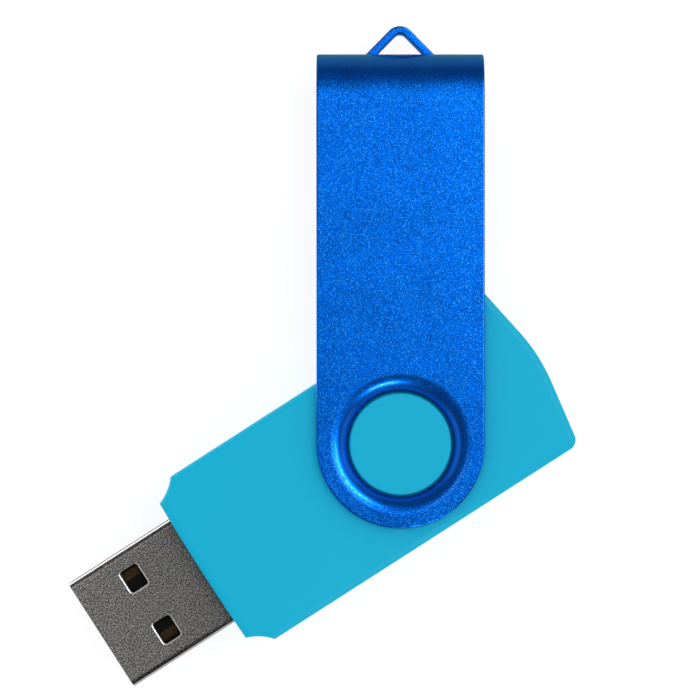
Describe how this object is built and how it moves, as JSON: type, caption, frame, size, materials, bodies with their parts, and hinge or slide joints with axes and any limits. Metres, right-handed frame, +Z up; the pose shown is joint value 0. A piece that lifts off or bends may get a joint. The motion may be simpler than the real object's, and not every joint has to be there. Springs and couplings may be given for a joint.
{
  "type": "usb flash drive",
  "caption": "Swivel USB flash drive: plastic housing with a standard USB-A plug, turning inside a bent aluminium cover that has a lanyard loop.",
  "frame": {"origin": "middle of the footprint, at the height of the lower face, with the cover standing 122.7 degrees open", "axes": "+Z up, square to the flat faces; +Y along the cover from the swivel axis to the lanyard loop; +X across the cover"},
  "size_m": [0.05, 0.0653, 0.0108],
  "materials": {
    "cover_aluminium": "bead-blasted and blue anodised",
    "housing_plastic": "smooth moulded, satin",
    "plug_steel": "nickel-plated, fine rolled grain",
    "insulator_plastic": "black, moulded",
    "contact_gold": "thin gold plating",
    "board_laminate": "green solder mask over glass laminate",
    "chip_resin": "moulded epoxy, fine texture",
    "tinned_leads": "matt tin plating",
    "crystal_ceramic": "dark, unglazed",
    "capacitor_ceramic": "tan, unglazed",
    "resistor_ceramic": "dark glaze",
    "solder": "bright, reflowed"
  },
  "bodies": {
    "drive": {"housing_top": "housing_plastic", "housing_bottom": "housing_plastic", "plug_shell": "plug_steel", "plug_insulator": "insulator_plastic", "contact_power": "contact_gold", "contact_data_minus": "contact_gold", "contact_data_plus": "contact_gold", "contact_ground": "contact_gold", "circuit_board": "board_laminate", "flash_chip": "chip_resin", "flash_chip_leads": "tinned_leads", "controller_chip": "chip_resin", "controller_chip_leads": "tinned_leads", "crystal_base": "crystal_ceramic", "crystal_lid": "tinned_leads", "capacitor_bodies": "capacitor_ceramic", "capacitor_terminals": "tinned_leads", "resistor_bodies": "resistor_ceramic", "resistor_terminals": "tinned_leads", "solder_joints": "solder"},
    "cover": {"swivel_cover": "cover_aluminium"}
  },
  "joints": [
    {"name": "cover_swivel", "type": "hinge", "parent": "drive", "child": "cover", "pos_m": [0.00777, -0.00866, 0.0054], "axis": [0, 0, 1], "continuous": true}
  ]
}
